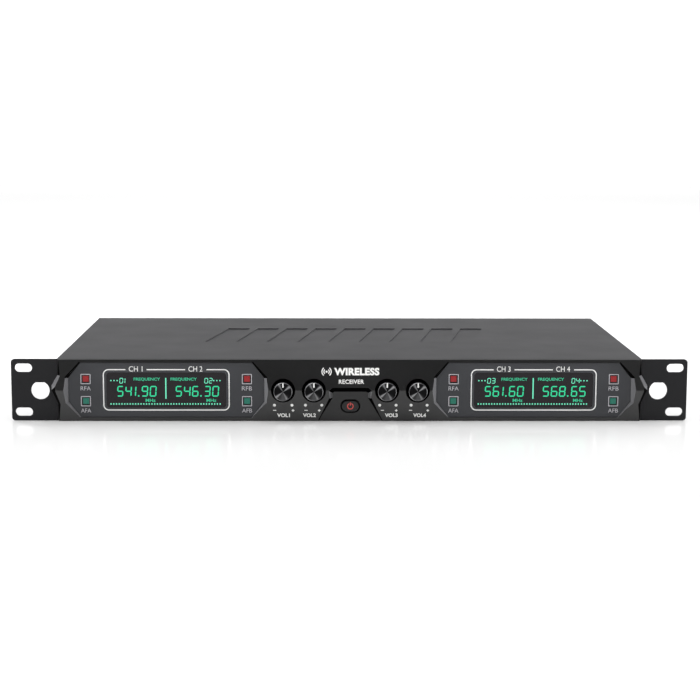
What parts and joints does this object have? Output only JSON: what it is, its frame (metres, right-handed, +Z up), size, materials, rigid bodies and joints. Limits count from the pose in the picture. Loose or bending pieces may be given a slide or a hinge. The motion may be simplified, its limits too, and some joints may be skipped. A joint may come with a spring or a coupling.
{
  "type": "rack-mount wireless microphone receiver",
  "caption": "Shallow one-unit rack receiver with two hexagonal display plates, round volume knobs, a central power button, slotted ears and rear audio and antenna sockets.",
  "frame": {"origin": "on the surface the unit stands on, under the centre of its overall length and depth", "axes": "+X to the right seen from the front, +Y towards the rear panel, +Z up"},
  "size_m": [0.4826, 0.261, 0.0443],
  "materials": {
    "panel_black": "black textured powder coat",
    "case_grey": "satin dark grey powder coat",
    "bezel_abs": "fine-textured black ABS",
    "overlay": "satin dark grey polycarbonate overlay",
    "lcd_window": "smoked LCD glass",
    "lcd_module": "dark cell and light guide",
    "light_red": "translucent red light pipe",
    "light_green": "translucent green light pipe",
    "knob_black": "spun black anodised",
    "print_white": "white paint fill",
    "steel": "zinc or nickel plated",
    "pot_can": "plain stamped",
    "board": "green solder mask on glass epoxy",
    "button_abs": "black ABS",
    "icon_red": "translucent red",
    "black_plastic": "black moulded",
    "nickel": "nickel plated die casting",
    "contact_gold": "gold plated",
    "ptfe": "white PTFE",
    "rubber": "matt black",
    "screw_black": "black zinc",
    "can_tin": "tinned steel",
    "heatsink": "extruded",
    "capacitor": "sleeved",
    "ribbon": "flat cable",
    "brass": "turned"
  },
  "bodies": {
    "chassis": {"rack_panel": "panel_black", "chassis_tray": "case_grey", "top_cover": "case_grey", "rear_panel": "case_grey", "rubber_feet": "rubber", "front_bezel": "bezel_abs", "display_overlay_left": "overlay", "display_overlay_right": "overlay", "lcd_window_left": "lcd_window", "lcd_window_right": "lcd_window", "lcd_module_left": "lcd_module", "lcd_module_right": "lcd_module", "display_board_left": "board", "display_board_right": "board", "rf_light_pipes": "light_red", "af_light_pipes": "light_green", "potentiometers": "pot_can", "pot_nuts": "steel", "pot_washers": "steel", "control_board": "board", "power_switch": "black_plastic", "xlr_shells": "nickel", "xlr_inserts": "black_plastic", "xlr_pins": "contact_gold", "bnc_jacks": "nickel", "bnc_insulators": "ptfe", "bnc_contacts": "contact_gold", "bnc_nuts": "nickel", "bnc_washers": "nickel", "mix_jack": "black_plastic", "mix_jack_nut": "steel", "dc_inlet": "black_plastic", "dc_inlet_pin": "steel", "receiver_board_left": "board", "receiver_board_right": "board", "audio_board": "board", "tuner_cans": "can_tin", "filter_capacitors": "capacitor", "regulator_heatsink": "heatsink", "board_standoffs": "brass", "antenna_leads": "black_plastic", "display_ribbons": "ribbon", "case_screws": "screw_black", "board_screws": "steel", "connector_screws": "screw_black"},
    "knob_1": {"volume_knob_1": "knob_black", "knob_pointer_1": "print_white", "pot_shaft_1": "steel"},
    "knob_2": {"volume_knob_2": "knob_black", "knob_pointer_2": "print_white", "pot_shaft_2": "steel"},
    "knob_3": {"volume_knob_3": "knob_black", "knob_pointer_3": "print_white", "pot_shaft_3": "steel"},
    "knob_4": {"volume_knob_4": "knob_black", "knob_pointer_4": "print_white", "pot_shaft_4": "steel"},
    "button": {"power_button": "button_abs", "power_icon_lens": "icon_red", "switch_plunger": "black_plastic"}
  },
  "joints": [
    {"name": "knob_1_turn", "type": "hinge", "parent": "chassis", "child": "knob_1", "pos_m": [-0.0479, -0.1245, 0.0225], "axis": [0, 1, 0], "range_deg": [-150, 150]},
    {"name": "knob_2_turn", "type": "hinge", "parent": "chassis", "child": "knob_2", "pos_m": [-0.026, -0.1245, 0.0225], "axis": [0, 1, 0], "range_deg": [-150, 150]},
    {"name": "knob_3_turn", "type": "hinge", "parent": "chassis", "child": "knob_3", "pos_m": [0.026, -0.1245, 0.0225], "axis": [0, 1, 0], "range_deg": [-150, 150]},
    {"name": "knob_4_turn", "type": "hinge", "parent": "chassis", "child": "knob_4", "pos_m": [0.0479, -0.1245, 0.0225], "axis": [0, 1, 0], "range_deg": [-150, 150]},
    {"name": "power_press", "type": "slide", "parent": "chassis", "child": "button", "axis": [0, 1, 0], "range_m": [0, 0.0012], "stiffness_N_per_m": 500, "springref_m": -0.001}
  ]
}
